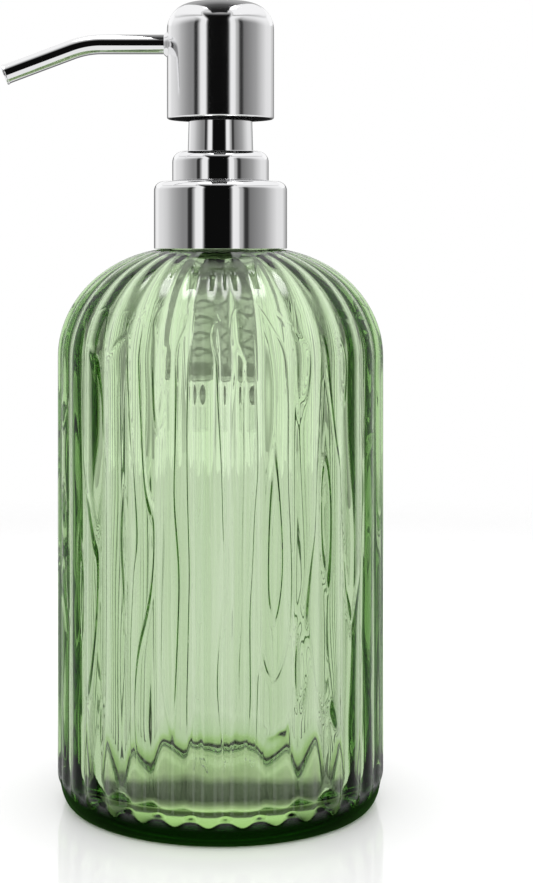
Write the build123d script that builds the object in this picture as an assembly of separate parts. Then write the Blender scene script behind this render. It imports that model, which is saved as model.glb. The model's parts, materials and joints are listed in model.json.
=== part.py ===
from build123d import *
import math
import os

# Soap pump dispenser: ribbed glass bottle with a screw-on lotion pump.
# Frame: +Z up along the bottle's axis, origin at the centre of the base, spout towards -X.
# All lengths are millimetres, all angles degrees. The model is drawn at rest, head up.

# ---------------------------------------------------------------- bottle
BODY_R = 39.0                 # rib crest radius
RIB_COUNT = 32
RIB_DEPTH = 0.9               # crest to groove on the straight wall
RIB_CONVEX = 0.66             # share of the pitch that is convex; the rest is the groove
RIB_TURN_DEG = 1.6            # turn of the ribs about the axis
GROOVE_R = BODY_R - RIB_DEPTH
SHOULDER_Z = 105.9            # where the straight wall turns into the shoulder
SHOULDER_W = 29.0             # shoulder is a quarter ellipse, this wide ...
SHOULDER_H = 26.0             # ... and this high
SHOULDER_END_DEG = 77.0       # ellipse angle at which the ribs have run out
SHOULDER_STEPS = 8
SHOULDER_WALL = 3.0           # thickness of the glass at the top of the shoulder
WALL = 3.6                    # crest to inner wall
CAVITY_R = BODY_R - WALL
FLOOR_Z = 3.6                 # top of the glass base
FLOOR_CORNER_R = 8.0
FOOT_R = 35.4                 # outer edge of the flat contact ring
FOOT_W = 1.7
PUNT = 1.2                    # how far the underside is pushed up inside the contact ring
PUNT_SLOPE_W = 5.6            # width of the slope up to the punt
RING_R = 38.4                 # smooth base ring below the ribs
RING_Z = 6.5
RING_TOP_Z = 8.2
RIB_END_Z = 3.9               # the ribs round in towards the ring between these heights
RIB_FULL_Z = 8.0
RIB_END_R = 37.9              # radius that the ribs' rounded ends come in to
RIB_END_ROUND = 3.0
CORE_UNDER = 0.1              # the smooth core lies this far inside the grooves
OVERCUT = 1.0                 # how far a cutting shape runs past the face that it opens
MOULD_ROUND = 0.4             # usual edge rounding of the moulded pieces
NECK_R = 12.6
NECK_BORE_R = 10.2
LIP_Z = 144.28
LIP_ROUND = 0.8

# ---------------------------------------------------------------- neck thread
PITCH = 4.233                 # six threads per inch
THREAD_TURNS = 1.25
THREAD_Z = 136.0              # centre of the bottle ridge at its start
THREAD_H = 1.1
THREAD_ROOT_W = 2.4
THREAD_CREST_W = 1.2
THREAD_SINK = 0.3             # how far a ridge is buried in its wall
NUT_RIDGE_ROOT_W = 1.6
NUT_RIDGE_CREST_W = 0.8
NUT_RIDGE_TURNS = 1.2
NUT_RIDGE_DROP = PITCH / 2 - 0.3

# ---------------------------------------------------------------- closure and collar
COLLAR_R = 16.0
COLLAR_Z = 131.7
COLLAR_TOP_Z = 147.8
COLLAR_ROUND = 2.2
SHEET = 0.5                   # thickness of the drawn metal shells
SHELL_GAP = 0.02
NUT_R = COLLAR_R - SHEET - SHELL_GAP
NUT_BORE_R = 14.0
NUT_CEILING_Z = 146.6
NUT_HOLE_R = 9.65
NUT_BOTTOM_Z = COLLAR_Z + 0.5

# ---------------------------------------------------------------- pump body
FLANGE_R = 12.9
FLANGE_Z = 145.3
FLANGE_TOP_Z = 146.5
BARREL_R = 7.55
BARREL_BORE_R = 6.3
BARREL_Z = 100.3
BARREL_FLOOR_Z = 101.5
VALVE_R = 4.6                 # narrow lower end with ball chamber and tube socket
VALVE_Z = 88.0
CHAMBER_R = 3.3
SEAT_Z = 94.6
SEAT_R = 1.6
CHAMBER_Z = 96.3
SOCKET_R = 2.52
SOCKET_TOP_Z = 93.4
VENT_Z = 135.4
VENT_R = 0.6
GASKET_BORE_R = 10.3
GASKET_R = 12.5

TUBE_R = 2.5
TUBE_BORE_R = 1.8
TUBE_TOP_Z = 93.2
TUBE_Z = 6.0
TUBE_CUT_DEG = 30.0

BALL_R = 2.4
BALL_REST = 0.06              # film between ball and seat
RETAINER_R = 6.24
RETAINER_Z = BARREL_FLOOR_Z
RETAINER_TOP_Z = 103.0
RETAINER_BORE_R = 2.9
SPIDER_W = 0.9
SPIDER_H = 1.0
SPIDER_SINK = 0.5             # how far each arm runs into the ring

# ---------------------------------------------------------------- chaplet, tiers 2 and 3
CHAPLET_NECK_R = 9.3
TIER2_R = 11.6
TIER2_Z = 148.0
TIER2_TOP_Z = 155.05
TIER2_ROUND = 2.6
PLUG_R = 6.26
PLUG_Z = 138.0
GUIDE_BORE_R = 3.66
WIPER_Z = 136.6
WIPER_EDGE = 0.6              # width and height of the wiper's slanted edge
WIPER_SQUEEZE = 0.03
TOWER_R = 7.05
SLEEVE_TOP_R = 7.6
SLEEVE_FOOT_R = 7.85
SLEEVE_TOP_Z = 164.0
SLEEVE_ROUND = 0.3
TOWER_TOP_Z = SLEEVE_TOP_Z - 0.4

# ---------------------------------------------------------------- plunger
STEM_R = 3.6
STEM_BORE_R = 1.9
STEM_Z = 128.0
STEM_TOP_Z = 184.6
STEM_BORE_TOP_Z = 182.9
PORT_R = 1.5                  # side port that faces the spout
PILLAR_FOOT_R = 5.7
PILLAR_FOOT_Z = 122.0
PILLAR_FOOT_T = 1.2
CONE_R = 3.4
CONE_TOP_Z = 126.0
SPIGOT_R = 1.88
SPIGOT_TOP_Z = 134.0
FLUTE_W = 1.2
PISTON_LIP_R = 6.26
PISTON_LIP_T = 0.3
PISTON_R = 5.75
PISTON_WEB_T = 0.7
PISTON_HUB_R = 4.5
PISTON_SEAT_R = 2.75
PISTON_Z = 124.8
PISTON_LEDGE_Z = 126.6
PISTON_TOP_Z = 134.0
PISTON_LIP_Z = PISTON_Z + 0.2
PISTON_FLARE_H = 1.8          # height over which each lip flares out to the barrel
PISTON_HUB_TOP_Z = PISTON_TOP_Z - 0.8
PISTON_GROOVE_Z = PISTON_Z + 1.0

SPRING_WIRE = 0.7
SPRING_MEAN_R = 5.1
SPRING_TURNS = 6
SPRING_DEAD_TURNS = 0.75      # closed coil at each end
SPRING_CLOSED_PITCH = 1.05 * SPRING_WIRE

# ---------------------------------------------------------------- head and spout
HEAD_R = 12.87
HEAD_WALL = 0.7
HEAD_Z = 162.8
HEAD_TOP_Z = 191.0
HEAD_CORNER_R = 6.5
HEAD_CROWN = 0.8
RIM_ROUND = 0.25
CORE_GAP = 0.03
CORE_Z = 178.0
CORE_TOP_Z = 188.4
CORE_ROUND = 4.5

SPOUT_R = 2.35
SPOUT_BORE_R = 1.85
SPOUT_FIT = 0.02              # clearance of the spout in the head's wall
SPOUT_Z = 180.8
SPOUT_INNER_X = -3.9
SPOUT_BEND_X = -28.5
SPOUT_BEND_R = 21.0
SPOUT_DROP_DEG = 20.5
SPOUT_TIP_LEN = 17.2
SPOUT_LIP_R = 2.5
SPOUT_LIP_T = 0.5
TRUMPET_R = 3.3               # drawn lip of the head around the spout
TRUMPET_L = 1.0
ORING_WIRE_R = 0.6
ORING_X = -6.5


# ---------------------------------------------------------------- helpers
def turned(outline):
    """Solid of revolution about Z of a closed outline of (radius, height[, corner radius])."""
    corners = [(p[0], p[1]) for p in outline]
    face = make_face(Polyline(*corners, close=True))
    for p in outline:
        if len(p) == 3:
            corner = face.vertices().sort_by_distance((p[0], p[1], 0))[0]
            face = fillet(corner, p[2])
    return revolve(Plane.XZ * face, Axis.Z, 360)


def tube(inner_r, outer_r, low_z, high_z):
    """Plain ring between two radii and two heights."""
    return turned([(inner_r, low_z), (outer_r, low_z), (outer_r, high_z), (inner_r, high_z)])


def rod(radius, low_z, high_z):
    """Plain cylinder on the Z axis."""
    height = high_z - low_z
    return Pos(0, 0, low_z + height / 2) * Cylinder(radius, height)


def rod_along_x(radius, low_x, high_x, height):
    """Plain cylinder along X at the given height."""
    length = high_x - low_x
    return Pos(low_x + length / 2, 0, height) * Rot(0, 90, 0) * Cylinder(radius, length)


def ridge(wall_r, height, root_w, crest_w, start_z, turns):
    """Helical thread ridge on a wall. A negative height makes an inward ridge."""
    sink = -math.copysign(THREAD_SINK, height)
    path = Pos(0, 0, start_z) * Helix(PITCH, PITCH * turns, wall_r)
    at_start = Plane(origin=path @ 0, x_dir=(1, 0, 0), z_dir=path % 0)
    section = at_start * make_face(Polyline(
        (sink, -root_w / 2), (0, -root_w / 2), (height, -crest_w / 2),
        (height, crest_w / 2), (0, root_w / 2), (sink, root_w / 2), close=True))
    return sweep(section, path, is_frenet=True)


# ---------------------------------------------------------------- glass bottle
def scalloped(scale):
    """Closed outline of the ribs: a convex arc over each rib and a tighter hollow arc in each groove."""
    step = 2 * math.pi / RIB_COUNT
    edge_r = BODY_R - RIB_DEPTH * RIB_CONVEX

    def at(radius, share):
        angle = math.radians(RIB_TURN_DEG) + share * step
        return (scale * radius * math.cos(angle), scale * radius * math.sin(angle))

    arcs = []
    for i in range(RIB_COUNT):
        groove_end = i + (1 - RIB_CONVEX) / 2
        rib_end = groove_end + RIB_CONVEX
        arcs.append(ThreePointArc(at(edge_r, groove_end), at(BODY_R, i + 0.5), at(edge_r, rib_end)))
        arcs.append(ThreePointArc(
            at(edge_r, rib_end), at(GROOVE_R, i + 1), at(edge_r, rib_end + 1 - RIB_CONVEX)))
    return make_face(Wire(arcs))


def ribbed_wall():
    """The ribs: straight on the wall, then shrinking with the shoulder's radius."""
    wall = extrude(Pos(0, 0, RIB_END_Z) * scalloped(1.0), SHOULDER_Z - RIB_END_Z)
    past_r = BODY_R + OVERCUT
    past_z = RIB_FULL_Z + OVERCUT
    rings = []
    for i in range(SHOULDER_STEPS + 1):
        turn = math.radians(SHOULDER_END_DEG * i / SHOULDER_STEPS)
        radius = BODY_R - SHOULDER_W * (1 - math.cos(turn))
        rings.append(Pos(0, 0, SHOULDER_Z + SHOULDER_H * math.sin(turn)) * scalloped(radius / BODY_R))
    rounded_end = turned([
        (0, RIB_END_Z), (RIB_END_R, RIB_END_Z), (BODY_R, RIB_FULL_Z, RIB_END_ROUND),
        (BODY_R, past_z), (past_r, past_z), (past_r, SHOULDER_Z), (0, SHOULDER_Z)])
    return (wall & rounded_end) + loft(rings)


def base_and_neck():
    """Smooth turned glass: foot, base ring, a core just inside the grooves, and the neck."""
    heel = EllipticalCenterArc((FOOT_R, RING_Z), RING_R - FOOT_R, RING_Z, start_angle=270, arc_size=90)
    core_r = GROOVE_R - CORE_UNDER
    contact_r = FOOT_R - FOOT_W
    rim = Polyline((RING_R, RING_Z), (core_r, RING_TOP_Z), (core_r, SHOULDER_Z), (0, SHOULDER_Z),
                   (0, PUNT), (contact_r - PUNT_SLOPE_W, PUNT), (contact_r, 0), (FOOT_R, 0))
    base = revolve(Plane.XZ * make_face(Wire([heel, *rim.edges()])), Axis.Z, 360)
    neck = turned([(0, SHOULDER_Z), (NECK_R, SHOULDER_Z), (NECK_R, LIP_Z, LIP_ROUND), (0, LIP_Z)])
    return base + neck


def cavity():
    """Inside of the bottle, from the floor to the mouth."""
    inner_w = CAVITY_R - NECK_BORE_R
    inner_h = SHOULDER_H - SHOULDER_WALL
    over_z = LIP_Z + OVERCUT
    dome = EllipticalCenterArc((NECK_BORE_R, SHOULDER_Z), inner_w, inner_h, start_angle=0, arc_size=90)
    sides = Polyline((NECK_BORE_R, SHOULDER_Z + inner_h), (NECK_BORE_R, over_z), (0, over_z),
                     (0, FLOOR_Z), (CAVITY_R, FLOOR_Z), (CAVITY_R, SHOULDER_Z))
    face = make_face(Wire([dome, *sides.edges()]))
    corner = face.vertices().sort_by_distance((CAVITY_R, FLOOR_Z, 0))[0]
    return revolve(Plane.XZ * fillet(corner, FLOOR_CORNER_R), Axis.Z, 360)


def glass_bottle():
    thread = ridge(NECK_R, THREAD_H, THREAD_ROOT_W, THREAD_CREST_W, THREAD_Z, THREAD_TURNS)
    return base_and_neck() + ribbed_wall() + thread - cavity()


# ---------------------------------------------------------------- closure
def screw_closure():
    """Moulded nut that screws on the neck, inside the metal collar."""
    top_z = COLLAR_TOP_Z - SHEET - SHELL_GAP
    shell = turned([
        (NUT_BORE_R, NUT_BOTTOM_Z), (NUT_R, NUT_BOTTOM_Z), (NUT_R, top_z, COLLAR_ROUND - SHEET),
        (NUT_HOLE_R, top_z), (NUT_HOLE_R, NUT_CEILING_Z), (NUT_BORE_R, NUT_CEILING_Z)])
    height = -(NUT_BORE_R - NECK_R - THREAD_SINK)
    start = THREAD_Z - NUT_RIDGE_DROP
    return shell + ridge(NUT_BORE_R, height, NUT_RIDGE_ROOT_W, NUT_RIDGE_CREST_W, start, NUT_RIDGE_TURNS)


def drawn_cup(radius, low_z, top_z, corner_r, hole_r, foot_round=0.15):
    """Thin metal shell, open below, with a rounded shoulder and a hole in its top."""
    return turned([
        (radius - SHEET, low_z), (radius, low_z, foot_round), (radius, top_z, corner_r),
        (hole_r, top_z), (hole_r, top_z - SHEET), (radius - SHEET, top_z - SHEET, corner_r - SHEET)])


def collar_shell():
    return drawn_cup(COLLAR_R, COLLAR_Z, COLLAR_TOP_Z, COLLAR_ROUND, NUT_HOLE_R)


# ---------------------------------------------------------------- pump body
def pump_housing():
    """Barrel with the flange that hangs on the bottle's lip, and the inlet valve below."""
    body = turned([
        (BARREL_BORE_R, FLANGE_TOP_Z), (FLANGE_R, FLANGE_TOP_Z, MOULD_ROUND),
        (FLANGE_R, FLANGE_Z, MOULD_ROUND), (BARREL_R, FLANGE_Z, MOULD_ROUND),
        (BARREL_R, BARREL_Z, MOULD_ROUND), (VALVE_R, BARREL_Z, MOULD_ROUND),
        (VALVE_R, VALVE_Z, MOULD_ROUND), (SOCKET_R, VALVE_Z), (SOCKET_R, SOCKET_TOP_Z),
        (SEAT_R, SOCKET_TOP_Z), (SEAT_R, SEAT_Z), (CHAMBER_R, CHAMBER_Z),
        (CHAMBER_R, BARREL_FLOOR_Z), (BARREL_BORE_R, BARREL_FLOOR_Z)])
    vent = rod_along_x(VENT_R, BARREL_BORE_R - OVERCUT, BARREL_R + OVERCUT, VENT_Z)
    return body - vent


def neck_gasket():
    return tube(GASKET_BORE_R, GASKET_R, LIP_Z + SHELL_GAP, FLANGE_Z)


def dip_tube():
    """Straight tube with a slanted lower end, so it can't seal against the floor."""
    straight = tube(TUBE_BORE_R, TUBE_R, TUBE_Z, TUBE_TOP_Z)
    block = 4 * TUBE_R
    blade = Pos(0, 0, -block / 2) * Box(4 * block, block, block)
    return straight - Pos(-TUBE_R, 0, TUBE_Z) * Rot(0, -TUBE_CUT_DEG, 0) * blade


def ball_retainer():
    """Snap-in ring with a cross that stops the ball; the spring stands on it."""
    ring = tube(RETAINER_BORE_R, RETAINER_R, RETAINER_Z, RETAINER_TOP_Z)
    arm = Box(2 * (RETAINER_BORE_R + SPIDER_SINK), SPIDER_W, SPIDER_H)
    for angle in (0, 90):
        ring += Pos(0, 0, RETAINER_Z + SPIDER_H / 2) * Rot(0, 0, angle) * arm
    return ring


def ball_rest_z():
    return SEAT_Z + math.sqrt(BALL_R**2 - SEAT_R**2) + BALL_REST


def inlet_ball():
    return Pos(0, 0, ball_rest_z()) * Sphere(BALL_R)


def chaplet():
    """Moulded plug that closes the barrel, carries tiers 2 and 3 and guides the stem."""
    inside_r = TIER2_R - SHEET - SHELL_GAP
    inside_z = TIER2_TOP_Z - SHEET - SHELL_GAP
    tower_r = TOWER_R - SHELL_GAP
    return turned([
        (GUIDE_BORE_R, PLUG_Z), (PLUG_R, PLUG_Z, MOULD_ROUND), (PLUG_R, FLANGE_TOP_Z),
        (CHAPLET_NECK_R, FLANGE_TOP_Z), (CHAPLET_NECK_R, TIER2_Z), (inside_r, TIER2_Z),
        (inside_r, inside_z, TIER2_ROUND - SHEET), (tower_r, inside_z), (tower_r, TOWER_TOP_Z, MOULD_ROUND),
        (GUIDE_BORE_R, TOWER_TOP_Z)])


def chaplet_shell():
    return drawn_cup(TIER2_R, TIER2_Z, TIER2_TOP_Z, TIER2_ROUND, TOWER_R)


def guide_sleeve():
    """Slightly tapered metal sleeve over the chaplet's tower, tier 3."""
    return turned([
        (TOWER_R, TIER2_TOP_Z), (SLEEVE_FOOT_R, TIER2_TOP_Z), (SLEEVE_TOP_R, SLEEVE_TOP_Z, SLEEVE_ROUND),
        (TOWER_R, SLEEVE_TOP_Z)])


def stem_wiper():
    """Soft ring under the chaplet that wipes the stem."""
    bore_r = GUIDE_BORE_R - WIPER_SQUEEZE
    return turned([
        (bore_r, WIPER_Z), (GUIDE_BORE_R + WIPER_EDGE, WIPER_Z), (PLUG_R, WIPER_Z + WIPER_EDGE),
        (PLUG_R, PLUG_Z), (bore_r, PLUG_Z)])


# ---------------------------------------------------------------- plunger
def stem():
    """Hollow piston rod. Its top sits in the head and opens sideways into the spout."""
    rod_with_bore = turned([
        (STEM_BORE_R, STEM_Z), (STEM_R, STEM_Z), (STEM_R, STEM_TOP_Z, MOULD_ROUND), (0, STEM_TOP_Z),
        (0, STEM_BORE_TOP_Z), (STEM_BORE_R, STEM_BORE_TOP_Z)])
    port = rod_along_x(PORT_R, -STEM_R - OVERCUT, 0, SPOUT_Z)
    return rod_with_bore - port


def piston_pillar():
    """Foot that the spring lifts, cone that the piston seals on, fluted spigot in the stem."""
    foot_top = PILLAR_FOOT_Z + PILLAR_FOOT_T
    solid = turned([
        (0, PILLAR_FOOT_Z), (PILLAR_FOOT_R, PILLAR_FOOT_Z), (PILLAR_FOOT_R, foot_top, MOULD_ROUND),
        (CONE_R, foot_top), (SPIGOT_R, CONE_TOP_Z), (SPIGOT_R, SPIGOT_TOP_Z, MOULD_ROUND), (0, SPIGOT_TOP_Z)])
    flute_h = SPIGOT_TOP_Z - CONE_TOP_Z
    groove = Pos(SPIGOT_R, 0, CONE_TOP_Z + flute_h / 2) * Box(FLUTE_W, FLUTE_W, flute_h)
    notch = Pos(PILLAR_FOOT_R, 0, PILLAR_FOOT_Z) * Box(FLUTE_W, FLUTE_W, 4 * PILLAR_FOOT_T)
    for angle in range(0, 360, 120):
        solid -= Rot(0, 0, angle) * groove
        solid -= Rot(0, 0, angle) * notch
    return solid


def piston_seal():
    """Double-lipped piston. It slides a little on the stem, which opens the outlet."""
    web_low = (PISTON_Z + PISTON_TOP_Z) / 2 - PISTON_WEB_T
    web_high = web_low + 2 * PISTON_WEB_T
    skirt_r = PISTON_R - PISTON_WEB_T
    lip_r = PISTON_LIP_R - PISTON_LIP_T
    return turned([
        (PISTON_SEAT_R, PISTON_Z), (PISTON_HUB_R, PISTON_Z), (PISTON_HUB_R, web_low), (skirt_r, web_low),
        (skirt_r, PISTON_GROOVE_Z), (lip_r, PISTON_LIP_Z), (PISTON_LIP_R, PISTON_LIP_Z),
        (PISTON_R, PISTON_LIP_Z + PISTON_FLARE_H), (PISTON_R, PISTON_TOP_Z - PISTON_FLARE_H),
        (PISTON_LIP_R, PISTON_TOP_Z), (lip_r, PISTON_TOP_Z), (skirt_r, PISTON_HUB_TOP_Z), (skirt_r, web_high),
        (PISTON_HUB_R, web_high), (PISTON_HUB_R, PISTON_HUB_TOP_Z), (GUIDE_BORE_R, PISTON_HUB_TOP_Z),
        (GUIDE_BORE_R, PISTON_LEDGE_Z), (PISTON_SEAT_R, PISTON_LEDGE_Z)])


def return_spring():
    """Stainless wire coil between the ball retainer and the pillar's foot."""
    low = RETAINER_TOP_Z + SPRING_WIRE / 2 + SHELL_GAP
    high = PILLAR_FOOT_Z - SPRING_WIRE / 2 - SHELL_GAP
    closed_h = SPRING_CLOSED_PITCH * SPRING_DEAD_TURNS
    open_h = high - low - 2 * closed_h
    open_turns = SPRING_TURNS - 2 * SPRING_DEAD_TURNS
    dead_coil = (SPRING_CLOSED_PITCH, closed_h)
    stretches = [dead_coil, (open_h / open_turns, open_h), dead_coil]
    coil = None
    start_z = low
    start_turn = 0.0
    for pitch, height in stretches:
        helix = Pos(0, 0, start_z) * Rot(0, 0, 360 * start_turn) * Helix(pitch, height, SPRING_MEAN_R)
        section = Plane(origin=helix @ 0, z_dir=helix % 0) * Circle(SPRING_WIRE / 2)
        piece = sweep(section, helix, is_frenet=True)
        coil = piece if coil is None else coil + piece
        start_z += height
        start_turn += height / pitch
    return coil


# ---------------------------------------------------------------- head
def head_outline(radius, low_z, top_z, corner_r):
    """Half section of the domed button, from the axis down to its lower edge."""
    edge_z = top_z - HEAD_CROWN
    crown = ThreePointArc((0, top_z), (radius / 2, top_z - HEAD_CROWN / 4), (radius, edge_z))
    sides = Polyline((radius, edge_z), (radius, low_z), (0, low_z), (0, top_z))
    face = make_face(Wire([crown, *sides.edges()]))
    corner = face.vertices().sort_by_distance((radius, edge_z, 0))[0]
    return revolve(Plane.XZ * fillet(corner, corner_r), Axis.Z, 360)


def head_shell():
    """Drawn metal button, hollow below, with a small drawn lip round the spout."""
    inner_r = HEAD_R - HEAD_WALL
    outside = head_outline(HEAD_R, HEAD_Z, HEAD_TOP_Z, HEAD_CORNER_R)
    inside = head_outline(inner_r, HEAD_Z - OVERCUT, HEAD_TOP_Z - HEAD_WALL, HEAD_CORNER_R - HEAD_WALL)
    rim = outside.edges().filter_by(GeomType.CIRCLE).sort_by(Axis.Z)[0]
    skirt = fillet(rim, RIM_ROUND) - inside
    hole_r = SPOUT_R + SPOUT_FIT
    trumpet = Rot(0, -90, 0) * Cone(TRUMPET_R, hole_r, 3 * TRUMPET_L)
    lip = Pos(-HEAD_R - TRUMPET_L / 2, 0, SPOUT_Z) * trumpet - rod(inner_r, HEAD_Z, HEAD_TOP_Z)
    return skirt + lip - rod_along_x(hole_r, -2 * HEAD_R, 0, SPOUT_Z)


def head_core():
    """Moulded insert in the button: socket for the stem and seat for the spout."""
    core_r = HEAD_R - HEAD_WALL - CORE_GAP
    blank = turned([
        (0, CORE_Z), (core_r, CORE_Z, MOULD_ROUND), (core_r, CORE_TOP_Z, CORE_ROUND), (0, CORE_TOP_Z)])
    socket = rod(STEM_R, CORE_Z - OVERCUT, STEM_TOP_Z)
    seat = rod_along_x(SPOUT_R, -2 * HEAD_R, 0, SPOUT_Z)
    gland = rod_along_x(SPOUT_R + 2 * ORING_WIRE_R, ORING_X - ORING_WIRE_R, ORING_X + ORING_WIRE_R, SPOUT_Z)
    return blank - socket - seat - gland


def spout_seal():
    """O-ring between the spout and the core."""
    ring = Torus(SPOUT_R + ORING_WIRE_R, ORING_WIRE_R)
    return Pos(ORING_X, 0, SPOUT_Z) * Rot(0, 90, 0) * ring


def spout_path():
    """Straight out of the head, one gentle bend down, straight to the tip."""
    drop = math.radians(SPOUT_DROP_DEG)
    inner = (SPOUT_INNER_X, 0, SPOUT_Z)
    bend_start = (SPOUT_BEND_X, 0, SPOUT_Z)

    def on_bend(angle):
        along = SPOUT_BEND_R * math.sin(angle)
        down = SPOUT_BEND_R * (1 - math.cos(angle))
        return (SPOUT_BEND_X - along, 0, SPOUT_Z - down)

    bend_end = on_bend(drop)
    tip = (bend_end[0] - SPOUT_TIP_LEN * math.cos(drop), 0, bend_end[2] - SPOUT_TIP_LEN * math.sin(drop))
    bend = ThreePointArc(bend_start, on_bend(drop / 2), bend_end)
    return Wire([Line(inner, bend_start), bend, Line(bend_end, tip)])


def spout_tube():
    """Bent metal tube with a thin rolled lip at its open end."""
    path = spout_path()
    start = Plane(origin=path @ 0, z_dir=path % 0)
    outside = sweep(start * Circle(SPOUT_R), path)
    tip = Plane(origin=path @ 1, z_dir=path % 1)
    lip = extrude(tip * Circle(SPOUT_LIP_R), -SPOUT_LIP_T)
    bore = sweep(start * Circle(SPOUT_BORE_R), path)
    return outside + fillet(lip.edges(), SPOUT_LIP_T / 3) - bore


PIECES = [
    glass_bottle,
    screw_closure,
    collar_shell,
    neck_gasket,
    pump_housing,
    dip_tube,
    ball_retainer,
    inlet_ball,
    return_spring,
    chaplet,
    chaplet_shell,
    guide_sleeve,
    stem_wiper,
    stem,
    piston_pillar,
    piston_seal,
    head_shell,
    head_core,
    spout_seal,
    spout_tube,
]

os.makedirs("parts", exist_ok=True)
for piece in PIECES:
    export_step(piece(), f"parts/{piece.__name__}.step")
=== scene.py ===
import json
import math

import bpy
import numpy as np
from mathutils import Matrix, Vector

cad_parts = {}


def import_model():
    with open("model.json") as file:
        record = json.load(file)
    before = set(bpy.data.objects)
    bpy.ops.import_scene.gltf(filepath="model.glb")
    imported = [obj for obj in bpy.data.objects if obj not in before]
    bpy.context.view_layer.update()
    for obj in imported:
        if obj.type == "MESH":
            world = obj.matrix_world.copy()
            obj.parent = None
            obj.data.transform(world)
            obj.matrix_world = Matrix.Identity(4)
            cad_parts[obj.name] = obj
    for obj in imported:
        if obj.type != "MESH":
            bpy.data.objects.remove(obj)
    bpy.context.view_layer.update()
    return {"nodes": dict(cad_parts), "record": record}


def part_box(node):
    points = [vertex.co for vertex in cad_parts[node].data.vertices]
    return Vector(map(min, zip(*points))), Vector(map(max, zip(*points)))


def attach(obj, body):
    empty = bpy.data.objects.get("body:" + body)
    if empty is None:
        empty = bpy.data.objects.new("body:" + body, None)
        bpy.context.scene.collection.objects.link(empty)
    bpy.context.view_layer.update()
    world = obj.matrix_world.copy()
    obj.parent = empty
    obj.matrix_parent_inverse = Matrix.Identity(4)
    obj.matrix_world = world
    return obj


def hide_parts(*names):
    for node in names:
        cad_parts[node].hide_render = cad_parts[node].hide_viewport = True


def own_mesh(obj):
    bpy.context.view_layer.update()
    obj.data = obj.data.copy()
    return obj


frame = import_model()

MM = 0.001

# ---------------------------------------------------------------- camera, in millimetres
CAMERA_DISTANCE = 428.3
CAMERA_HEIGHT = 135.2
PICTURE_HEIGHT = 212.45        # what the picture shows at the distance of the bottle's axis
SHIFT_X = 0.0521               # shares of the picture's height: the bottle stands left of the middle,
SHIFT_Y = -0.2350              # and the camera is level with its horizon above the middle
SENSOR = 36.0
CLIP_START = 10.0

# ---------------------------------------------------------------- bottle, in millimetres
BODY_R = 39.0
RIB_COUNT = 32
RIB_DEPTH = 0.9
RIB_TURN_DEG = 1.6
RIB_CONVEX_SHARE = 0.66        # of a rib's pitch; the rest is the concave groove
RIB_END_Z = 3.9                # the ribs sink into the base ring between these two heights
RIB_FULL_Z = 8.0
RIB_SINK = 1.1
RIB_SINK_CURVE = 2.4
RIB_FADE_R = 21.0              # inside this radius the ribs fade out towards the neck
RIB_FADE_W = 8.0
SHOULDER_Z = 105.9
SHOULDER_W = 29.0
SHOULDER_H = 26.0
SHOULDER_WALL = 3.0
CAVITY_R = 35.4
CAVITY_FLOOR_Z = 3.6
CAVITY_CORNER_R = 8.0
FOOT_R = 35.4
FOOT_W = 1.7
PUNT = 1.2
PUNT_SLOPE_W = 5.6
RING_R = 38.4                  # the smooth ring round the base, under the ribs
RING_Z = 6.5
RING_SINK = 1.6
RING_SINK_H = 3.0
RING_SINK_CURVE = 1.5
RING_BLEND = 0.12
NECK_R = 12.6
NECK_Z = 132.0
NECK_FILLET_R = 0.4
NECK_FILLET_H = 0.6
NECK_MIDDLE_Z = 138.0
NECK_BORE_R = 10.2
NECK_BORE_Z = 130.4
LIP_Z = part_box("glass_bottle")[1][2] / MM
LIP_ROUND = 0.8
LIP_GAP = 0.1

# Rings of points: radii across the underside and the inner floor, and heights up the wall.
UNDERSIDE_RADII = (2.0, 10.0, 18.0)
FLOOR_RADII = (24.0, 16.0, 8.0, 2.0)
WALL_HEIGHTS = np.concatenate([np.arange(3.4, 9.0, 0.25), np.linspace(10.0, SHOULDER_Z, 28)])
SAMPLES_PER_RIB = 12

# Unevenness of the inner wall: bumps round the bottle, their height in millimetres, sway for each
# millimetre up, amount of sway, start. It fades in above the floor and out in the shoulder.
WAVES = [(7, 0.20, 0.050, 1.0, 0.3), (13, 0.13, 0.071, 1.3, 1.9), (23, 0.08, 0.043, 1.6, 4.4),
         (41, 0.035, 0.090, 1.2, 2.6)]
WAVE_BOTTOM_Z = 14.0
WAVE_BOTTOM_FADE = 10.0
WAVE_TOP_Z = 116.0
WAVE_TOP_FADE = 14.0
WAVE_TWIST = 2.1

# ---------------------------------------------------------------- spring, in millimetres
WIRE = 0.7
COIL_R = 5.1
SPRING_TURNS = 6
DEAD_TURNS = 0.75
DEAD_PITCH = 1.05              # of the wire's thickness
STEPS_PER_TURN = 24
WIRE_STEPS = 12

# ---------------------------------------------------------------- metal shells, in millimetres
LATHE_STEPS = 160
TUBE_STEPS = 64
SHEET = 0.5
INNER_EDGE = 0.1
OUTER_EDGE = 0.15
COLLAR_ROUND = 2.2
COLLAR_HOLE_R = 9.65
TIER2_ROUND = 2.6
SLEEVE_TAPER = 0.25
SLEEVE_ROUND = 0.3
TOWER_R = 7.05
HEAD_WALL = 0.7
HEAD_CORNER_R = 6.5
HEAD_CROWN = 0.8
CROWN_SHARES = (0.03, 0.15, 0.3, 0.45)   # radii of the crown's rings, as shares of the head's
RIM_ROUND = 0.45
RIM_STEP = 0.12
HOLLOW_TOP_R = 0.4
SHADE_DEPTH = 0.5              # the painted shade inside the hollow starts this far under the crown
SPOUT_R = 2.35
SPOUT_BORE_R = 1.85
SPOUT_Z = 180.8
SPOUT_INNER_X = -3.9
SPOUT_BEND_X = -28.5
SPOUT_BEND_R = 21.0
SPOUT_DROP_DEG = 20.5
SPOUT_TIP_LEN = 17.2
SPOUT_STATIONS = (0.0, 6.0, 12.0, 18.0)
BEND_STEPS = 24
BEND_EASE = 0.5                # a ring of points this far before and after the bend
TIP_STATION = 4.0
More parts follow.
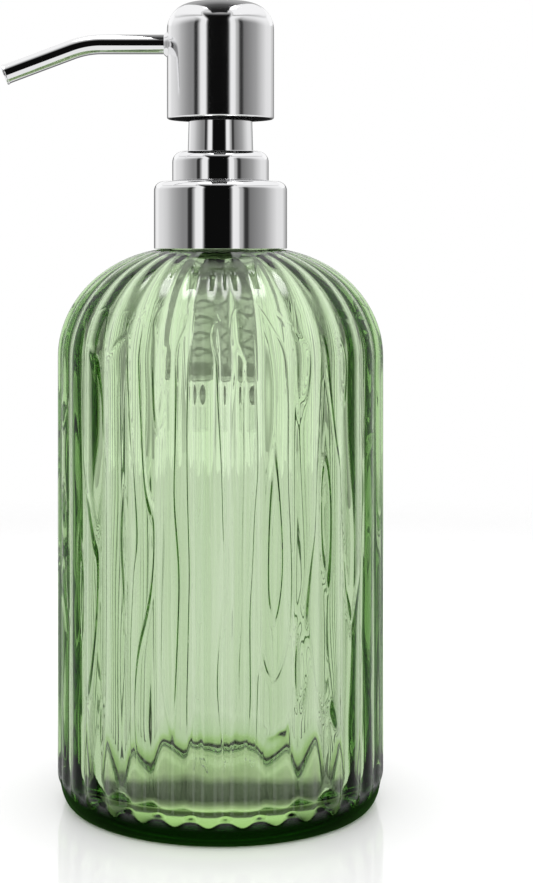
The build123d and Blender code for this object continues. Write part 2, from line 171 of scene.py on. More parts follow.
# The rolled lip: millimetres back from the tip, and radius.
SPOUT_LIP = [(0.62, SPOUT_R), (0.50, 2.44), (0.43, 2.50), (0.10, 2.50), (0.0, 2.42), (0.0, 1.93),
             (0.08, SPOUT_BORE_R)]
FLARE_R = 3.25
FLARE_L = 1.0
FLARE_CURVE = 0.8
FLARE_FOOT = 0.6
FLARE_ROOT = 0.8               # how far the flare starts inside the head
FLARE_SET_IN = 0.25
FLARE_CLEARANCE = 0.03
FLARE_OVERLAP = 0.1
FLARE_STEPS = 9

# ---------------------------------------------------------------- materials
GLASS_COLOUR = (0.31, 0.585, 0.085, 1.0)
GLASS_DENSITY = 128.0
GLASS_IOR = 1.5
# Wood-grain lines on the inner wall: contours of two stretched noises, drawn as low ridges.
GRAIN_FINE = (110.0, 1.5, (1, 1, 0.10))
GRAIN_COARSE = (30.0, 1.0, (1, 1, 0.22))
GRAIN_LINES = 6.0              # contours for each unit of the noise field
GRAIN_WIDTH = 0.08
GRAIN_HEIGHT = 0.24            # millimetres
# Where the grain is, in millimetres: nowhere at the first of each pair, everywhere at the second.
GRAIN_OUTSIDE = (CAVITY_R + 1.2, CAVITY_R + 0.7)
GRAIN_INSIDE = (20.0, 30.0)
GRAIN_BELOW = (14.0, 34.0)
GRAIN_ABOVE = (122.0, 98.0)
CHROME_COLOUR = (0.93, 0.93, 0.94, 1.0)
STEEL_COLOUR = (0.93, 0.93, 0.93, 1.0)
# Near-black metal inside the button's hollow: painted shade.
HOLLOW_SHADE_COLOUR = (0.05, 0.05, 0.05, 1.0)
BARREL_COLOUR = (0.96, 0.97, 0.95, 1.0)
BARREL_TRANSMISSION = 0.74
BARREL_IOR = 1.25
BARREL_END_Z = 99.9            # millimetres
BARREL_END_BLEND = 0.2
BARREL_CLEARNESS = 0.44
VALVE_CLEARNESS = 0.90
PLASTIC_IOR = 1.49
PLASTIC_GRAIN = 0.04

# ---------------------------------------------------------------- studio
# What the metal mirrors at its own level, by degrees to the right of straight behind the camera.
STRIPS = [
    (-180, 0.12), (-166, 0.14), (-158, 0.30), (-150, 0.85), (-140, 0.90), (-130, 0.76), (-118, 0.72),
    (-105, 0.62), (-92, 0.45), (-78, 0.32), (-68, 0.25), (-60, 0.24), (-56.5, 0.03), (-51, 0.03),
    (-46, 0.45), (-43, 0.85), (-32, 0.90), (-28, 0.10), (-26, 0.004), (0, 0.004), (15, 0.004), (18, 0.12),
    (22, 0.90), (31, 0.85), (34, 0.50), (38, 0.42), (42, 0.05), (47, 0.03), (52, 0.18), (66, 0.26),
    (82, 0.36), (98, 0.58), (115, 0.78), (135, 0.80), (148, 0.50), (160, 0.28), (180, 0.12)]
# Height in degrees at which the strips end and the white overhead begins, by the same angle.
STRIP_TOPS = [
    (-180, 34), (-164, 32), (-156, 14), (-90, 27), (-45, 35), (-31, 36), (-25, 60), (0, 60), (14, 60),
    (20, 36), (45, 35), (90, 27), (156, 14), (164, 32), (180, 34)]
# What is seen through the glass, by the same angle: bright behind, softer panels all round.
PANELS = [
    (-180, 1.32), (-164, 1.18), (-155, 0.62), (-146, 0.34), (-134, 0.45), (-122, 0.75), (-110, 0.60),
    (-96, 0.30), (-84, 0.45), (-70, 0.75), (-56, 0.55), (-40, 0.45), (-20, 0.75), (0, 1.10), (20, 0.75),
    (40, 0.45), (56, 0.55), (70, 0.75), (84, 0.45), (96, 0.30), (110, 0.60), (122, 0.75), (134, 0.45),
    (146, 0.34), (155, 0.62), (164, 1.18), (180, 1.32)]
BACKDROP = 1.0
SOFT_LIGHT = 1.45
# Pairs of degrees below are where a change starts and where it is complete.
FAN = 2.4                      # how many times wider the strips are high up
FAN_HEIGHTS = (24.0, 66.0)
TOP_EDGE = (-18.0, 8.0)        # round a strip's top
RIM_LINE_ABOVE = 6.0           # a dark line over the strips' tops, darkest in front
RIM_LINE_WIDTH = 2.2
RIM_LINE_DARKNESS = 0.45
RIM_LINE_TO_FRONT = -0.4
OVERHEAD = 0.95
SOFTBOX = 9.0
SOFTBOX_HEIGHTS = (68.0, 78.0)
GAP_FOOT = (8.5, 10.5)         # a white gap behind, for what the tabletop mirrors
GAP_TOP = (25.0, 23.0)
GAP_TURN = (130.0, 140.0)
FLAG_BOTTOM = (-20.5, -17.5)
UNDERFOOT = 0.85               # the pale tabletop below, darker behind
BEHIND_STEEP = 0.55
BEHIND_SHALLOW = 0.12
BEHIND_HEIGHTS = (-55.0, -38.0)
BEHIND_DEPTH = (0.0, 0.12)     # not degrees: how far the direction points away from the camera
BEHIND_TURN = (150.0, 162.0)
STRAIGHT_DOWN = 0.08
STRAIGHT_DOWN_HEIGHTS = (-88.0, -79.0)
PANEL_FADE = 0.35
PANEL_FADE_HEIGHTS = (5.0, 12.0)
PANEL_ABOVE = 0.80
PANEL_ABOVE_HEIGHTS = (20.0, 42.0)
PANEL_BELOW = 0.06
PANEL_BELOW_HEIGHTS = (-38.0, -20.0)

# A dark card over the head, in millimetres: depth and half width of its rows, and its tones by depth.
CARD_ROWS = [(-45, 15), (-10, 17), (30, 25), (100, 30), (250, 50)]
CARD_ABOVE = 45.0
CARD_LEFT = 2.0
CARD_TONES = [(0.0, 0.004), (0.10, 0.02), (0.2, 0.10), (0.26, 0.26), (0.36, 0.38), (1.0, 0.5)]
CARD_TONES_START = -50.0
CARD_TONES_LENGTH = 250.0

# Tabletop, in millimetres from the axis. UNDER_SHADOW_TONES is the painted shadow that the glass bottom
# shows under the bottle, from 0 at UNDER_HALF in front to 1 at UNDER_HALF behind.
FLOOR_HALF = 600.0
FLOOR_DROP = 0.02
FLOOR_COLOUR = (0.90, 0.90, 0.90, 1.0)
FLOOR_ROUGHNESS = 0.06
FLOOR_FADE = (220.0, 500.0)
UNDER_HALF = 50.0
UNDER_SHADOW_TONES = [(0.0, 0.80), (0.22, 0.80), (0.29, 0.20), (0.36, 0.01), (0.54, 0.02), (0.61, 0.48),
               (1.0, 0.58)]
UNDER_TINT = (1.26, 1.42, 0.96)          # the light under the bottle has come through green glass
FOOTPRINT_EDGE = (38.0, 44.0)
BESIDE_TONE = 0.95
# A painted contact shadow round the foot's edge, in what the glass shows of the tabletop.
CONTACT_INSIDE = (32.5, 33.5)
CONTACT_OUTSIDE = (38.0, 36.0)
CONTACT_SHADOW_TONE = 0.12
FOOT_SHADOW = (0.03, 0.07, 0.02, 1.0)    # what the glass foot mirrors right beside it
FOOT_SHADOW_EDGE = (52.0, 42.0)


# ---------------------------------------------------------------- node trees
class Nodes:
    """Short spellings for a node tree."""

    def __init__(self, tree):
        self.tree = tree

    def add(self, kind):
        return self.tree.nodes.new("ShaderNode" + kind)

    def feed(self, value, socket):
        """Puts a number on a socket, or links an output to it."""
        if isinstance(value, (int, float)):
            socket.default_value = value
        else:
            self.tree.links.new(value, socket)

    def maths(self, operation, *values):
        node = self.add("Math")
        node.operation = operation
        for value, socket in zip(values, node.inputs):
            self.feed(value, socket)
        return node.outputs[0]

    def product(self, first, *others):
        for other in others:
            first = self.maths("MULTIPLY", first, other)
        return first

    def bell(self, value, middle, width):
        """1 at the middle, falling to nothing about two widths away."""
        off = self.maths("DIVIDE", self.maths("SUBTRACT", value, middle), width)
        return self.maths("EXPONENT", self.product(off, off, -1.0))

    def step(self, value, limits):
        """0 at the first limit, 1 at the second, smooth between. The first may be the greater."""
        node = self.add("MapRange")
        node.interpolation_type = "SMOOTHSTEP"
        node.inputs["From Min"].default_value = min(limits)
        node.inputs["From Max"].default_value = max(limits)
        if limits[0] > limits[1]:
            node.inputs["To Min"].default_value = 1.0
            node.inputs["To Max"].default_value = 0.0
        self.feed(value, node.inputs["Value"])
        return node.outputs["Result"]

    def step_mm(self, value, limits):
        return self.step(value, [limit * MM for limit in limits])

    def spread(self, value, low, high):
        """A 0 to 1 value spread between low and high."""
        node = self.add("MapRange")
        node.inputs["To Min"].default_value = low
        node.inputs["To Max"].default_value = high
        self.feed(value, node.inputs["Value"])
        return node.outputs["Result"]

    def blend(self, share, a, b):
        """a where share is 0, b where it is 1."""
        node = self.add("Mix")
        for socket, value in ((0, share), (2, a), (3, b)):
            self.feed(value, node.inputs[socket])
        return node.outputs[0]

    def blend_shaders(self, share, a, b):
        node = self.add("MixShader")
        for value, socket in zip((share, a, b), node.inputs):
            self.feed(value, socket)
        return node.outputs[0]

    def ramp(self, place, stops):
        """Value at a place from 0 to 1, straight between stops of (place, value)."""
        node = self.add("ValToRGB")
        elements = node.color_ramp.elements
        elements.remove(elements[-1])
        for i, (at, level) in enumerate(stops):
            stop = elements[0] if i == 0 else elements.new(at)
            stop.position = at
            stop.color = (level, level, level, 1)
        self.feed(place, node.inputs["Fac"])
        return node.outputs["Color"]

    def wheel(self, turn, stops):
        """Value by turn, -180 to 180 degrees, with a ramp for each half to have room for the stops."""
        most = max(level for degrees, level in stops)
        left = [(1 + degrees / 180, level / most) for degrees, level in stops if degrees <= 0]
        right = [(degrees / 180, level / most) for degrees, level in stops if degrees >= 0]
        share = self.maths("DIVIDE", turn, 180.0)
        halves = self.blend(self.maths("GREATER_THAN", turn, 0.0),
                            self.ramp(self.maths("ADD", share, 1.0), left), self.ramp(share, right))
        return self.maths("MULTIPLY", halves, most)

    def xyz(self, vector):
        node = self.add("SeparateXYZ")
        self.feed(vector, node.inputs["Vector"])
        return node.outputs

    def place(self):
        """Object coordinates."""
        return self.add("TexCoord").outputs["Object"]

    def noise(self, scale, detail=2.0, stretch=(1, 1, 1)):
        """Object-space noise, stretched along the axes."""
        mapping = self.add("Mapping")
        mapping.inputs["Scale"].default_value = stretch
        self.feed(self.place(), mapping.inputs["Vector"])
        texture = self.add("TexNoise")
        texture.inputs["Scale"].default_value = scale
        texture.inputs["Detail"].default_value = detail
        self.feed(mapping.outputs["Vector"], texture.inputs["Vector"])
        return texture.outputs["Fac"]

    def surface(self, shader):
        self.feed(shader, self.tree.nodes["Material Output"].inputs["Surface"])


# ---------------------------------------------------------------- materials
def material(name, colour):
    mat = bpy.data.materials.new(name)
    mat.use_nodes = True
    shader = mat.node_tree.nodes["Principled BSDF"]
    shader.inputs["Base Color"].default_value = colour
    return mat, Nodes(mat.node_tree), shader


def green_glass():
    mat, n, shader = material("green_glass", (1.0, 1.0, 1.0, 1.0))
    shader.inputs["Transmission Weight"].default_value = 1.0
    shader.inputs["IOR"].default_value = GLASS_IOR
    shader.inputs["Roughness"].default_value = 0.0
    absorb = n.add("VolumeAbsorption")
    absorb.inputs["Color"].default_value = GLASS_COLOUR
    absorb.inputs["Density"].default_value = GLASS_DENSITY
    n.feed(absorb.outputs["Volume"], n.tree.nodes["Material Output"].inputs["Volume"])

    field = n.maths("ADD", n.noise(*GRAIN_FINE), n.noise(*GRAIN_COARSE))
    phase = n.maths("FRACT", n.maths("MULTIPLY", field, GRAIN_LINES))
    x, y, z = n.xyz(n.place())
    across = n.maths("SQRT", n.maths("ADD", n.maths("POWER", x, 2.0), n.maths("POWER", y, 2.0)))
    line = n.product(n.bell(phase, 0.5, GRAIN_WIDTH),
                     n.step_mm(across, GRAIN_OUTSIDE), n.step_mm(across, GRAIN_INSIDE),
                     n.step_mm(z, GRAIN_BELOW), n.step_mm(z, GRAIN_ABOVE))
    bump = n.add("Bump")
    bump.inputs["Distance"].default_value = GRAIN_HEIGHT * MM
    n.feed(line, bump.inputs["Height"])
    n.feed(bump.outputs["Normal"], shader.inputs["Normal"])
    return mat


def metal(name, colour, low, high, *grain):
    """Metal whose roughness wanders between low and high, by a noise of the given scale and shape."""
    mat, n, shader = material(name, colour)
    shader.inputs["Metallic"].default_value = 1.0
    n.feed(n.spread(n.noise(*grain), low, high), shader.inputs["Roughness"])
    return mat


def chrome(name, low, high):
    """Polished metal with faint smudges."""
    return metal(name, CHROME_COLOUR, low, high, 60.0, 3.0)


def steel():
    return metal("drawn_steel", STEEL_COLOUR, 0.45, 0.60, 400.0, 2.0, (1, 1, 6))


def plastic_parts(name, colour, roughness, transmission, ior):
    mat, n, shader = material(name, colour)
    shader.inputs["Transmission Weight"].default_value = transmission
    shader.inputs["IOR"].default_value = ior
    grain = n.spread(n.noise(900.0), roughness[0], roughness[1])
    n.feed(grain, shader.inputs["Roughness"])
    return mat, n, shader


def plastic(name, colour, roughness, transmission=0.0, ior=PLASTIC_IOR):
    limits = (roughness - PLASTIC_GRAIN, roughness + PLASTIC_GRAIN)
    return plastic_parts(name, (*colour, 1.0), limits, transmission, ior)[0]


def housing_plastic():
    """Frosted natural plastic for the pump barrel. The valve below it is nearly clear."""
    mat, n, shader = plastic_parts("natural_plastic", BARREL_COLOUR, (0.42, 0.48),
                                   BARREL_TRANSMISSION, BARREL_IOR)
    height = n.xyz(n.place())["Z"]
    below = n.step_mm(height, (BARREL_END_Z + BARREL_END_BLEND, BARREL_END_Z - BARREL_END_BLEND))
    clearness = n.blend(below, BARREL_CLEARNESS, VALVE_CLEARNESS)
    n.surface(n.blend_shaders(clearness, shader.outputs[0], n.add("BsdfTransparent").outputs[0]))
    return mat


# ---------------------------------------------------------------- mesh helpers
def skin(name, rings, closed=False):
    """Mesh through equal rings of points in millimetres: a closed loop of rings, or a run with caps."""
    count = len(rings[0])
    points = (np.concatenate(rings) * MM).tolist()
    faces = []
    for i in range(len(rings) if closed else len(rings) - 1):
        a = i * count
        b = (i + 1) % len(rings) * count
        for j in range(count):
            k = (j + 1) % count
            faces.append((a + j, a + k, b + k, b + j))
    if not closed:
        last = (len(rings) - 1) * count
        faces.append(tuple(range(count - 1, -1, -1)))
        faces.append(tuple(range(last, last + count)))
    mesh = bpy.data.meshes.new(name)
    mesh.from_pydata(points, [], faces)
    mesh.polygons.foreach_set("use_smooth", [True] * len(faces))
    mesh.update()
    return placed(name, mesh)


def placed(name, data):
    """New object in the scene."""
    thing = bpy.data.objects.new(name, data)
    bpy.context.scene.collection.objects.link(thing)
    return thing


def dress(piece, mat, body, node=None):
    piece.data.materials.append(mat)
    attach(piece, body)
    if node:
        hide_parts(node)


def turns_of(count):
    """Equal steps round a circle, in radians."""
    return np.arange(count) * 2 * math.pi / count


def arc(centre_r, centre_z, width, height, start_deg, end_deg, steps):
    """Points (radius, height) on an ellipse arc in the half section."""
    out = []
    for i in range(steps + 1):
        a = math.radians(start_deg + (end_deg - start_deg) * i / steps)
        out.append((centre_r + width * math.cos(a), centre_z + height * math.sin(a)))
    return out


def rounded(corners, closed=True, steps=10):
    """Points along an outline of (radius, height[, rounding]) corners."""
    out = []
    for i, corner in enumerate(corners):
        here = np.array(corner[:2])
        end = not closed and i in (0, len(corners) - 1)
        if len(corner) == 2 or end:
            out.append(tuple(here))
            continue
        to_last = np.array(corners[i - 1][:2]) - here
        to_next = np.array(corners[(i + 1) % len(corners)][:2]) - here
        to_last = to_last / np.linalg.norm(to_last)
        to_next = to_next / np.linalg.norm(to_next)
        half = math.acos(float(np.clip(to_last @ to_next, -1, 1))) / 2
        middle = (to_last + to_next) / np.linalg.norm(to_last + to_next)
        centre = here + middle * corner[2] / math.sin(half)
        start = here + to_last * corner[2] / math.tan(half) - centre
        side = here - centre
        side = side - start * (side @ start) / (start @ start)
        side = side / np.linalg.norm(side) * corner[2]
        sweep = math.pi - 2 * half
        for step in range(steps + 1):
            a = sweep * step / steps
            out.append(tuple(centre + start * math.cos(a) + side * math.sin(a)))
    return out


def supported(points, gap=0.12):
    """The outline with a point just inside each end of every long side, so that its shading stays flat."""
    out = []
    for i, here in enumerate(points):
        there = points[(i + 1) % len(points)]
        out.append(here)
        length = math.dist(here, there)
        if length > 8 * gap:
            for share in (gap / length, 1 - gap / length):
                out.append(tuple(a + (b - a) * share for a, b in zip(here, there)))
    return out


def ring_at(angle, radius, z):
    """Ring of points round the axis. The radius and the height may change with the angle."""
    radius = np.broadcast_to(radius, angle.shape)
    return np.stack([radius * np.cos(angle), radius * np.sin(angle), np.broadcast_to(z, angle.shape)], 1)


def lathe_rings(outline):
    angle = turns_of(LATHE_STEPS)
    return [ring_at(angle, r, z) for r, z in outline]


def crisp(piece, degrees=30.0):
    """Keeps real edges sharp and flat faces flat."""
    piece.data.set_sharp_from_angle(angle=math.radians(degrees))
    normals = piece.modifiers.new("normals", "WEIGHTED_NORMAL")
    normals.keep_sharp = True


# ---------------------------------------------------------------- glass bottle
def rib_shape(angle):
    """Height of the rib above the groove at an angle round the bottle, 0 to 1."""
    pitch = 2 * math.pi / RIB_COUNT
    u = np.abs(((angle - math.radians(RIB_TURN_DEG)) / pitch) % 1.0 - 0.5) * 2
    crest = 1 - u**2 / RIB_CONVEX_SHARE
    groove = (1 - u) ** 2 / (1 - RIB_CONVEX_SHARE)
    return np.where(u < RIB_CONVEX_SHARE, crest, groove)


def smooth_max(a, b, k):
    h = np.clip(k - np.abs(a - b), 0, None) / k
    return np.maximum(a, b) + h * h * k / 4


def wall_ring(angle, ribs, z):
    """Outside of the wall at a height: the ribs, or the base ring where that stands out further."""
    sink = np.clip((RIB_FULL_Z - z) / (RIB_FULL_Z - RIB_END_Z), 0, 2)
    rib_r = BODY_R - RIB_DEPTH + RIB_DEPTH * ribs - RIB_SINK * sink**RIB_SINK_CURVE
    if z < RING_Z:
        ring_r = FOOT_R + (RING_R - FOOT_R) * math.sqrt(1 - ((RING_Z - z) / RING_Z) ** 2)
    else:
        ring_r = RING_R - RING_SINK * np.clip((z - RING_Z) / RING_SINK_H, 0, 2) ** RING_SINK_CURVE
    return ring_at(angle, smooth_max(rib_r, np.full_like(angle, ring_r), RING_BLEND), z)


def bottle_outer_rings(angle):
    """Outside of the bottle from the underside's centre up to the lip, as rings of points."""
    ribs = rib_shape(angle)
    punt_r = FOOT_R - FOOT_W - PUNT_SLOPE_W
    outline = [(r, PUNT) for r in (*UNDERSIDE_RADII, punt_r)]
    outline += arc(punt_r, 0.0, PUNT_SLOPE_W, PUNT, 80, 10, 6)
    outline += arc(FOOT_R, RING_Z, RING_R - FOOT_R, RING_Z, -90, -30, 12)
    rings = [ring_at(angle, r, z) for r, z in outline]
    rings += [wall_ring(angle, ribs, z) for z in WALL_HEIGHTS]
    for r, z in arc(BODY_R - SHOULDER_W, SHOULDER_Z, SHOULDER_W, SHOULDER_H, 2.5, 84, 40):
        fade = 1 - np.clip((RIB_FADE_R - r) / RIB_FADE_W, 0, 1) ** 2
        rings.append(ring_at(angle, r - RIB_DEPTH * (r / BODY_R) * fade * (1 - ribs), z))
    outline = [(NECK_R + NECK_FILLET_R, NECK_Z), (NECK_R, NECK_Z + NECK_FILLET_H), (NECK_R, NECK_MIDDLE_Z),
               (NECK_R, LIP_Z - LIP_ROUND - LIP_GAP)]
    outline += arc(NECK_R - LIP_ROUND, LIP_Z - LIP_ROUND, LIP_ROUND, LIP_ROUND, 20, 90, 4)
    return rings + [ring_at(angle, r, z) for r, z in outline]


def wave(angle, z):
    """Unevenness of the inner wall, in millimetres: slow swells and long thin streaks."""
    inside = np.clip((z - WAVE_BOTTOM_Z) / WAVE_BOTTOM_FADE, 0, 1)
    inside = inside * np.clip((WAVE_TOP_Z - z) / WAVE_TOP_FADE, 0, 1)
    total = np.zeros_like(angle)
    for count, size, climb, sway, turn in WAVES:
        total = total + size * np.sin(count * angle + turn + sway * np.sin(climb * z + WAVE_TWIST * turn))
    return inside * total


def bottle_inner_rings(angle):
    """Inside of the bottle from the mouth down to the floor's centre."""
    outline = arc(NECK_BORE_R + LIP_ROUND, LIP_Z - LIP_ROUND, LIP_ROUND, LIP_ROUND, 90, 180, 4)
    outline += [(NECK_BORE_R, z) for z in (NECK_MIDDLE_Z, NECK_Z, NECK_BORE_Z)]
    rings = [ring_at(angle, r, z) for r, z in outline]
    wall = arc(NECK_BORE_R, SHOULDER_Z, CAVITY_R - NECK_BORE_R, SHOULDER_H - SHOULDER_WALL, 86, 1.5, 32)
    corner_z = CAVITY_FLOOR_Z + CAVITY_CORNER_R
    wall += [(CAVITY_R, z) for z in np.linspace(SHOULDER_Z - 2, corner_z + 1, 60)]
    rings += [ring_at(angle, r + wave(angle, z) * r / CAVITY_R, z) for r, z in wall]
    outline = arc(CAVITY_R - CAVITY_CORNER_R, corner_z, CAVITY_CORNER_R, CAVITY_CORNER_R, 0, -88, 12)
    outline += [(r, CAVITY_FLOOR_Z) for r in FLOOR_RADII]
    return rings + [ring_at(angle, r, z) for r, z in outline]


def glass_bottle():
    angle = turns_of(RIB_COUNT * SAMPLES_PER_RIB)
    piece = skin("bottle", bottle_outer_rings(angle) + bottle_inner_rings(angle))
    dress(piece, green_glass(), "bottle", "glass_bottle")


# ---------------------------------------------------------------- metal shells
def size_of(node):
    """Outer radius, lowest and highest point of a turned node, in millimetres."""
    low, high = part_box(node)
    return (high[1] - low[1]) / 2 / MM, low[2] / MM, high[2] / MM


def turned_shell(name, corners, mat, body, node):
    piece = skin(name, lathe_rings(supported(rounded(corners))), closed=True)
    crisp(piece)
    dress(piece, mat, body, node)


def drawn_cup(node, name, body, mat, corner_r, hole_r):
    """Thin drawn shell, open below, with a rounded shoulder and a hole in its top."""
    r, low, high = size_of(node)
    inner = r - SHEET
    corners = [(inner, low, INNER_EDGE), (r, low, OUTER_EDGE), (r, high, corner_r),
               (hole_r, high, INNER_EDGE), (hole_r, high - SHEET), (inner, high - SHEET, corner_r - SHEET)]
    turned_shell(name, corners, mat, body, node)


def sleeve(mat):
    r, low, high = size_of("guide_sleeve")
    corners = [(TOWER_R, low), (r, low), (r - SLEEVE_TAPER, high, SLEEVE_ROUND), (TOWER_R, high)]
    turned_shell("sleeve", corners, mat, "pump_body", "guide_sleeve")


def head(mat):
    """Domed button: outside from the crown's centre to the rim, then back up the hollow inside."""
    r, low, high = size_of("head_shell")
    edge = high - HEAD_CROWN
    inner = r - HEAD_WALL
    crown = [(r * share, high - HEAD_CROWN * share**2) for share in CROWN_SHARES]
    outside = rounded([*crown, (r, edge, HEAD_CORNER_R), (r, low, RIM_ROUND),
                       (r - HEAD_WALL / 2, low)], closed=False, steps=20)
    inside = rounded([(inner, low + RIM_STEP), (inner, edge - HEAD_WALL, HEAD_CORNER_R - HEAD_WALL),
                      (HOLLOW_TOP_R, high - HEAD_WALL)], closed=False, steps=12)
    piece = skin("button", lathe_rings(outside + inside))
    crisp(piece)
    dress(piece, mat, "head", "head_shell")
    # The inside of the hollow is near-black metal: painted shade, darker than the button's metal.
    piece.data.materials.append(metal("painted_shade_inside", HOLLOW_SHADE_COLOUR, 0.4, 0.6, 500.0))
    last_outside = (len(outside) - 1) * LATHE_STEPS
    for face in piece.data.polygons:
        if min(face.vertices) >= last_outside and face.center.z < (high - SHADE_DEPTH) * MM:
            face.material_index = 1


def flare(mat):
    """The button's small drawn lip where the spout comes out."""
    r = size_of("head_shell")[0]
    profile = [(r - FLARE_ROOT, FLARE_R + FLARE_FOOT)]
    for a in np.linspace(0, math.pi / 2, FLARE_STEPS):
        along = r - FLARE_SET_IN + FLARE_L * math.sin(a)
        rise = (FLARE_R - SPOUT_R) * (1 - math.sin(a)) ** FLARE_CURVE
        profile.append((along, SPOUT_R + FLARE_CLEARANCE + rise))
    profile += [(r + FLARE_L - FLARE_SET_IN, SPOUT_R - FLARE_OVERLAP),
                (r - FLARE_ROOT, SPOUT_R - FLARE_OVERLAP)]
    angle = turns_of(TUBE_STEPS)
    rings = []
    for x, radius in profile:
        across = -radius * np.cos(angle)
        rings.append(np.stack([np.full_like(angle, -x), across, SPOUT_Z + radius * np.sin(angle)], 1))
    piece = skin("spout_flare", rings, closed=True)
    crisp(piece, 50)
    dress(piece, mat, "head")


def spout_place(s):
    """Point and direction on the spout's centre line, s millimetres from its inner end."""
    straight = SPOUT_INNER_X - SPOUT_BEND_X
    drop = math.radians(SPOUT_DROP_DEG)
    bend = SPOUT_BEND_R * drop
    turn = min(max(s - straight, 0) / SPOUT_BEND_R, drop)
    ahead = max(s - straight - bend, 0)
    x = SPOUT_INNER_X - min(s, straight) - SPOUT_BEND_R * math.sin(turn) - ahead * math.cos(turn)
    z = SPOUT_Z - SPOUT_BEND_R * (1 - math.cos(turn)) - ahead * math.sin(turn)
    return np.array([x, 0, z]), np.array([-math.cos(turn), 0, -math.sin(turn)])


def spout(mat):
    """Bent tube with a thin rolled lip: outside from the head to the tip, then back along the bore."""
    straight = SPOUT_INNER_X - SPOUT_BEND_X
    bend_end = straight + SPOUT_BEND_R * math.radians(SPOUT_DROP_DEG)
    end = bend_end + SPOUT_TIP_LEN
    stations = [*SPOUT_STATIONS, straight - BEND_EASE, *np.linspace(straight, bend_end, BEND_STEPS),
                bend_end + BEND_EASE, end - TIP_STATION]
    outline = [(s, SPOUT_R) for s in stations]
    outline += [(end - back, radius) for back, radius in SPOUT_LIP]
    outline += [(s, SPOUT_BORE_R) for s in reversed(stations)]
    angle = turns_of(TUBE_STEPS)
    rings = []
    for s, radius in outline:
        centre, ahead = spout_place(s)
        up = np.array([ahead[2], 0, -ahead[0]])
        across = np.array([0, -1, 0])
        rings.append(centre + radius * (np.outer(np.cos(angle), across) + np.outer(np.sin(angle), up)))
    piece = skin("spout", rings, closed=True)
    crisp(piece, 50)
    dress(piece, mat, "head", "spout_tube")


def metal_shells():
    bright = chrome("polished_chrome", 0.015, 0.05)
    soft = chrome("satin_chrome", 0.07, 0.11)
    drawn_cup("collar_shell", "collar", "closure", bright, COLLAR_ROUND, COLLAR_HOLE_R)
    drawn_cup("chaplet_shell", "tier", "pump_body", bright, TIER2_ROUND, TOWER_R)
    sleeve(bright)
    head(soft)
    flare(bright)
    spout(bright)


def spring():
    """Coil spring with closed ends."""
    low, high = (corner[2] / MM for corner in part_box("return_spring"))
    wire_r = WIRE / 2
    dead = DEAD_TURNS * WIRE * DEAD_PITCH
    turns = np.linspace(0, SPRING_TURNS, SPRING_TURNS * STEPS_PER_TURN + 1)
    heights = np.interp(turns, [0, DEAD_TURNS, SPRING_TURNS - DEAD_TURNS, SPRING_TURNS],
                        [low + wire_r, low + wire_r + dead, high - wire_r - dead, high - wire_r])
    angle = turns_of(WIRE_STEPS)
    radius = COIL_R + wire_r * np.cos(angle)
    rise = wire_r * np.sin(angle)
    rings = []
    for turn, z in zip(turns * 2 * math.pi, heights):
        rings.append(np.stack([radius * math.cos(turn), radius * math.sin(turn), z + rise], 1))
    piece = skin("spring", rings)
    crisp(piece, 60)
    dress(piece, steel(), "pump_body", "return_spring")
    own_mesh(piece)


# ---------------------------------------------------------------- CAD nodes
def smooth_cad(piece):
    """Smooth shading with sharp edges kept, by modifiers only."""
    piece.data.polygons.foreach_set("use_smooth", [True] * len(piece.data.polygons))
    weld = piece.modifiers.new("weld", "WELD")
    weld.merge_threshold = 1e-6
    split = piece.modifiers.new("split", "EDGE_SPLIT")
    split.split_angle = math.radians(32)
    piece.modifiers.new("normals", "WEIGHTED_NORMAL")


def dress_cad():
    white = plastic("white_plastic", (0.86, 0.86, 0.85), 0.35)
    finish = {
        "chrome": chrome("hidden_chrome", 0.03, 0.07),
        "white_plastic": white,
        "natural_plastic": housing_plastic(),
        "clear_tube": plastic("clear_tube", (0.98, 0.99, 0.98), 0.06, 1.0, 1.06),
        "soft_seal": plastic("soft_seal", (0.78, 0.78, 0.76), 0.5),
        "steel": steel(),
        "green_glass": white}
    for part in frame["record"]["subparts"]:
        piece = frame["nodes"][part["node"]]
        piece.data.materials.clear()
        piece.data.materials.append(finish[part["material_slot"]])
        smooth_cad(piece)


# ---------------------------------------------------------------- studio
def mirrored_light(n, turn, height, depth):
    """What the metal mirrors: strips at its level, white overhead, a darker half below."""
    fanned = n.maths("DIVIDE", turn, n.blend(n.step(height, FAN_HEIGHTS), 1.0, FAN))
    over_strips = n.maths("SUBTRACT", height, n.wheel(fanned, STRIP_TOPS))
    line = n.bell(over_strips, RIM_LINE_ABOVE, RIM_LINE_WIDTH)
    front = n.maths("ADD", n.product(depth, RIM_LINE_TO_FRONT), RIM_LINE_DARKNESS)
    white = n.product(n.maths("SUBTRACT", 1.0, n.product(line, front)), OVERHEAD)
    white = n.maths("ADD", white, n.product(n.step(height, SOFTBOX_HEIGHTS), SOFTBOX))
    upper = n.blend(n.step(over_strips, TOP_EDGE), n.wheel(fanned, STRIPS), white)
    off_front = n.maths("ABSOLUTE", turn)
    gap = n.product(n.step(height, GAP_FOOT), n.step(height, GAP_TOP), n.step(off_front, GAP_TURN))
    upper = n.blend(gap, upper, BACKDROP)

    behind = n.product(n.step(depth, BEHIND_DEPTH), n.step(off_front, BEHIND_TURN))
    low_behind = n.blend(n.step(height, BEHIND_HEIGHTS), BEHIND_STEEP, BEHIND_SHALLOW)
    lower = n.blend(behind, UNDERFOOT, low_behind)
    lower = n.blend(n.step(height, STRAIGHT_DOWN_HEIGHTS), STRAIGHT_DOWN, lower)
    return n.blend(n.step(height, FLAG_BOTTOM), lower, upper)


def light_through(n, turn, height):
    """What is seen through the glass: the panels, even light above them and little below."""
    fade = n.blend(n.step(height, PANEL_FADE_HEIGHTS), 1.0, PANEL_FADE)
    panels = n.product(n.wheel(turn, PANELS), fade)
    above = n.blend(n.step(height, PANEL_ABOVE_HEIGHTS), panels, PANEL_ABOVE)
    return n.blend(n.step(height, PANEL_BELOW_HEIGHTS), PANEL_BELOW, above)


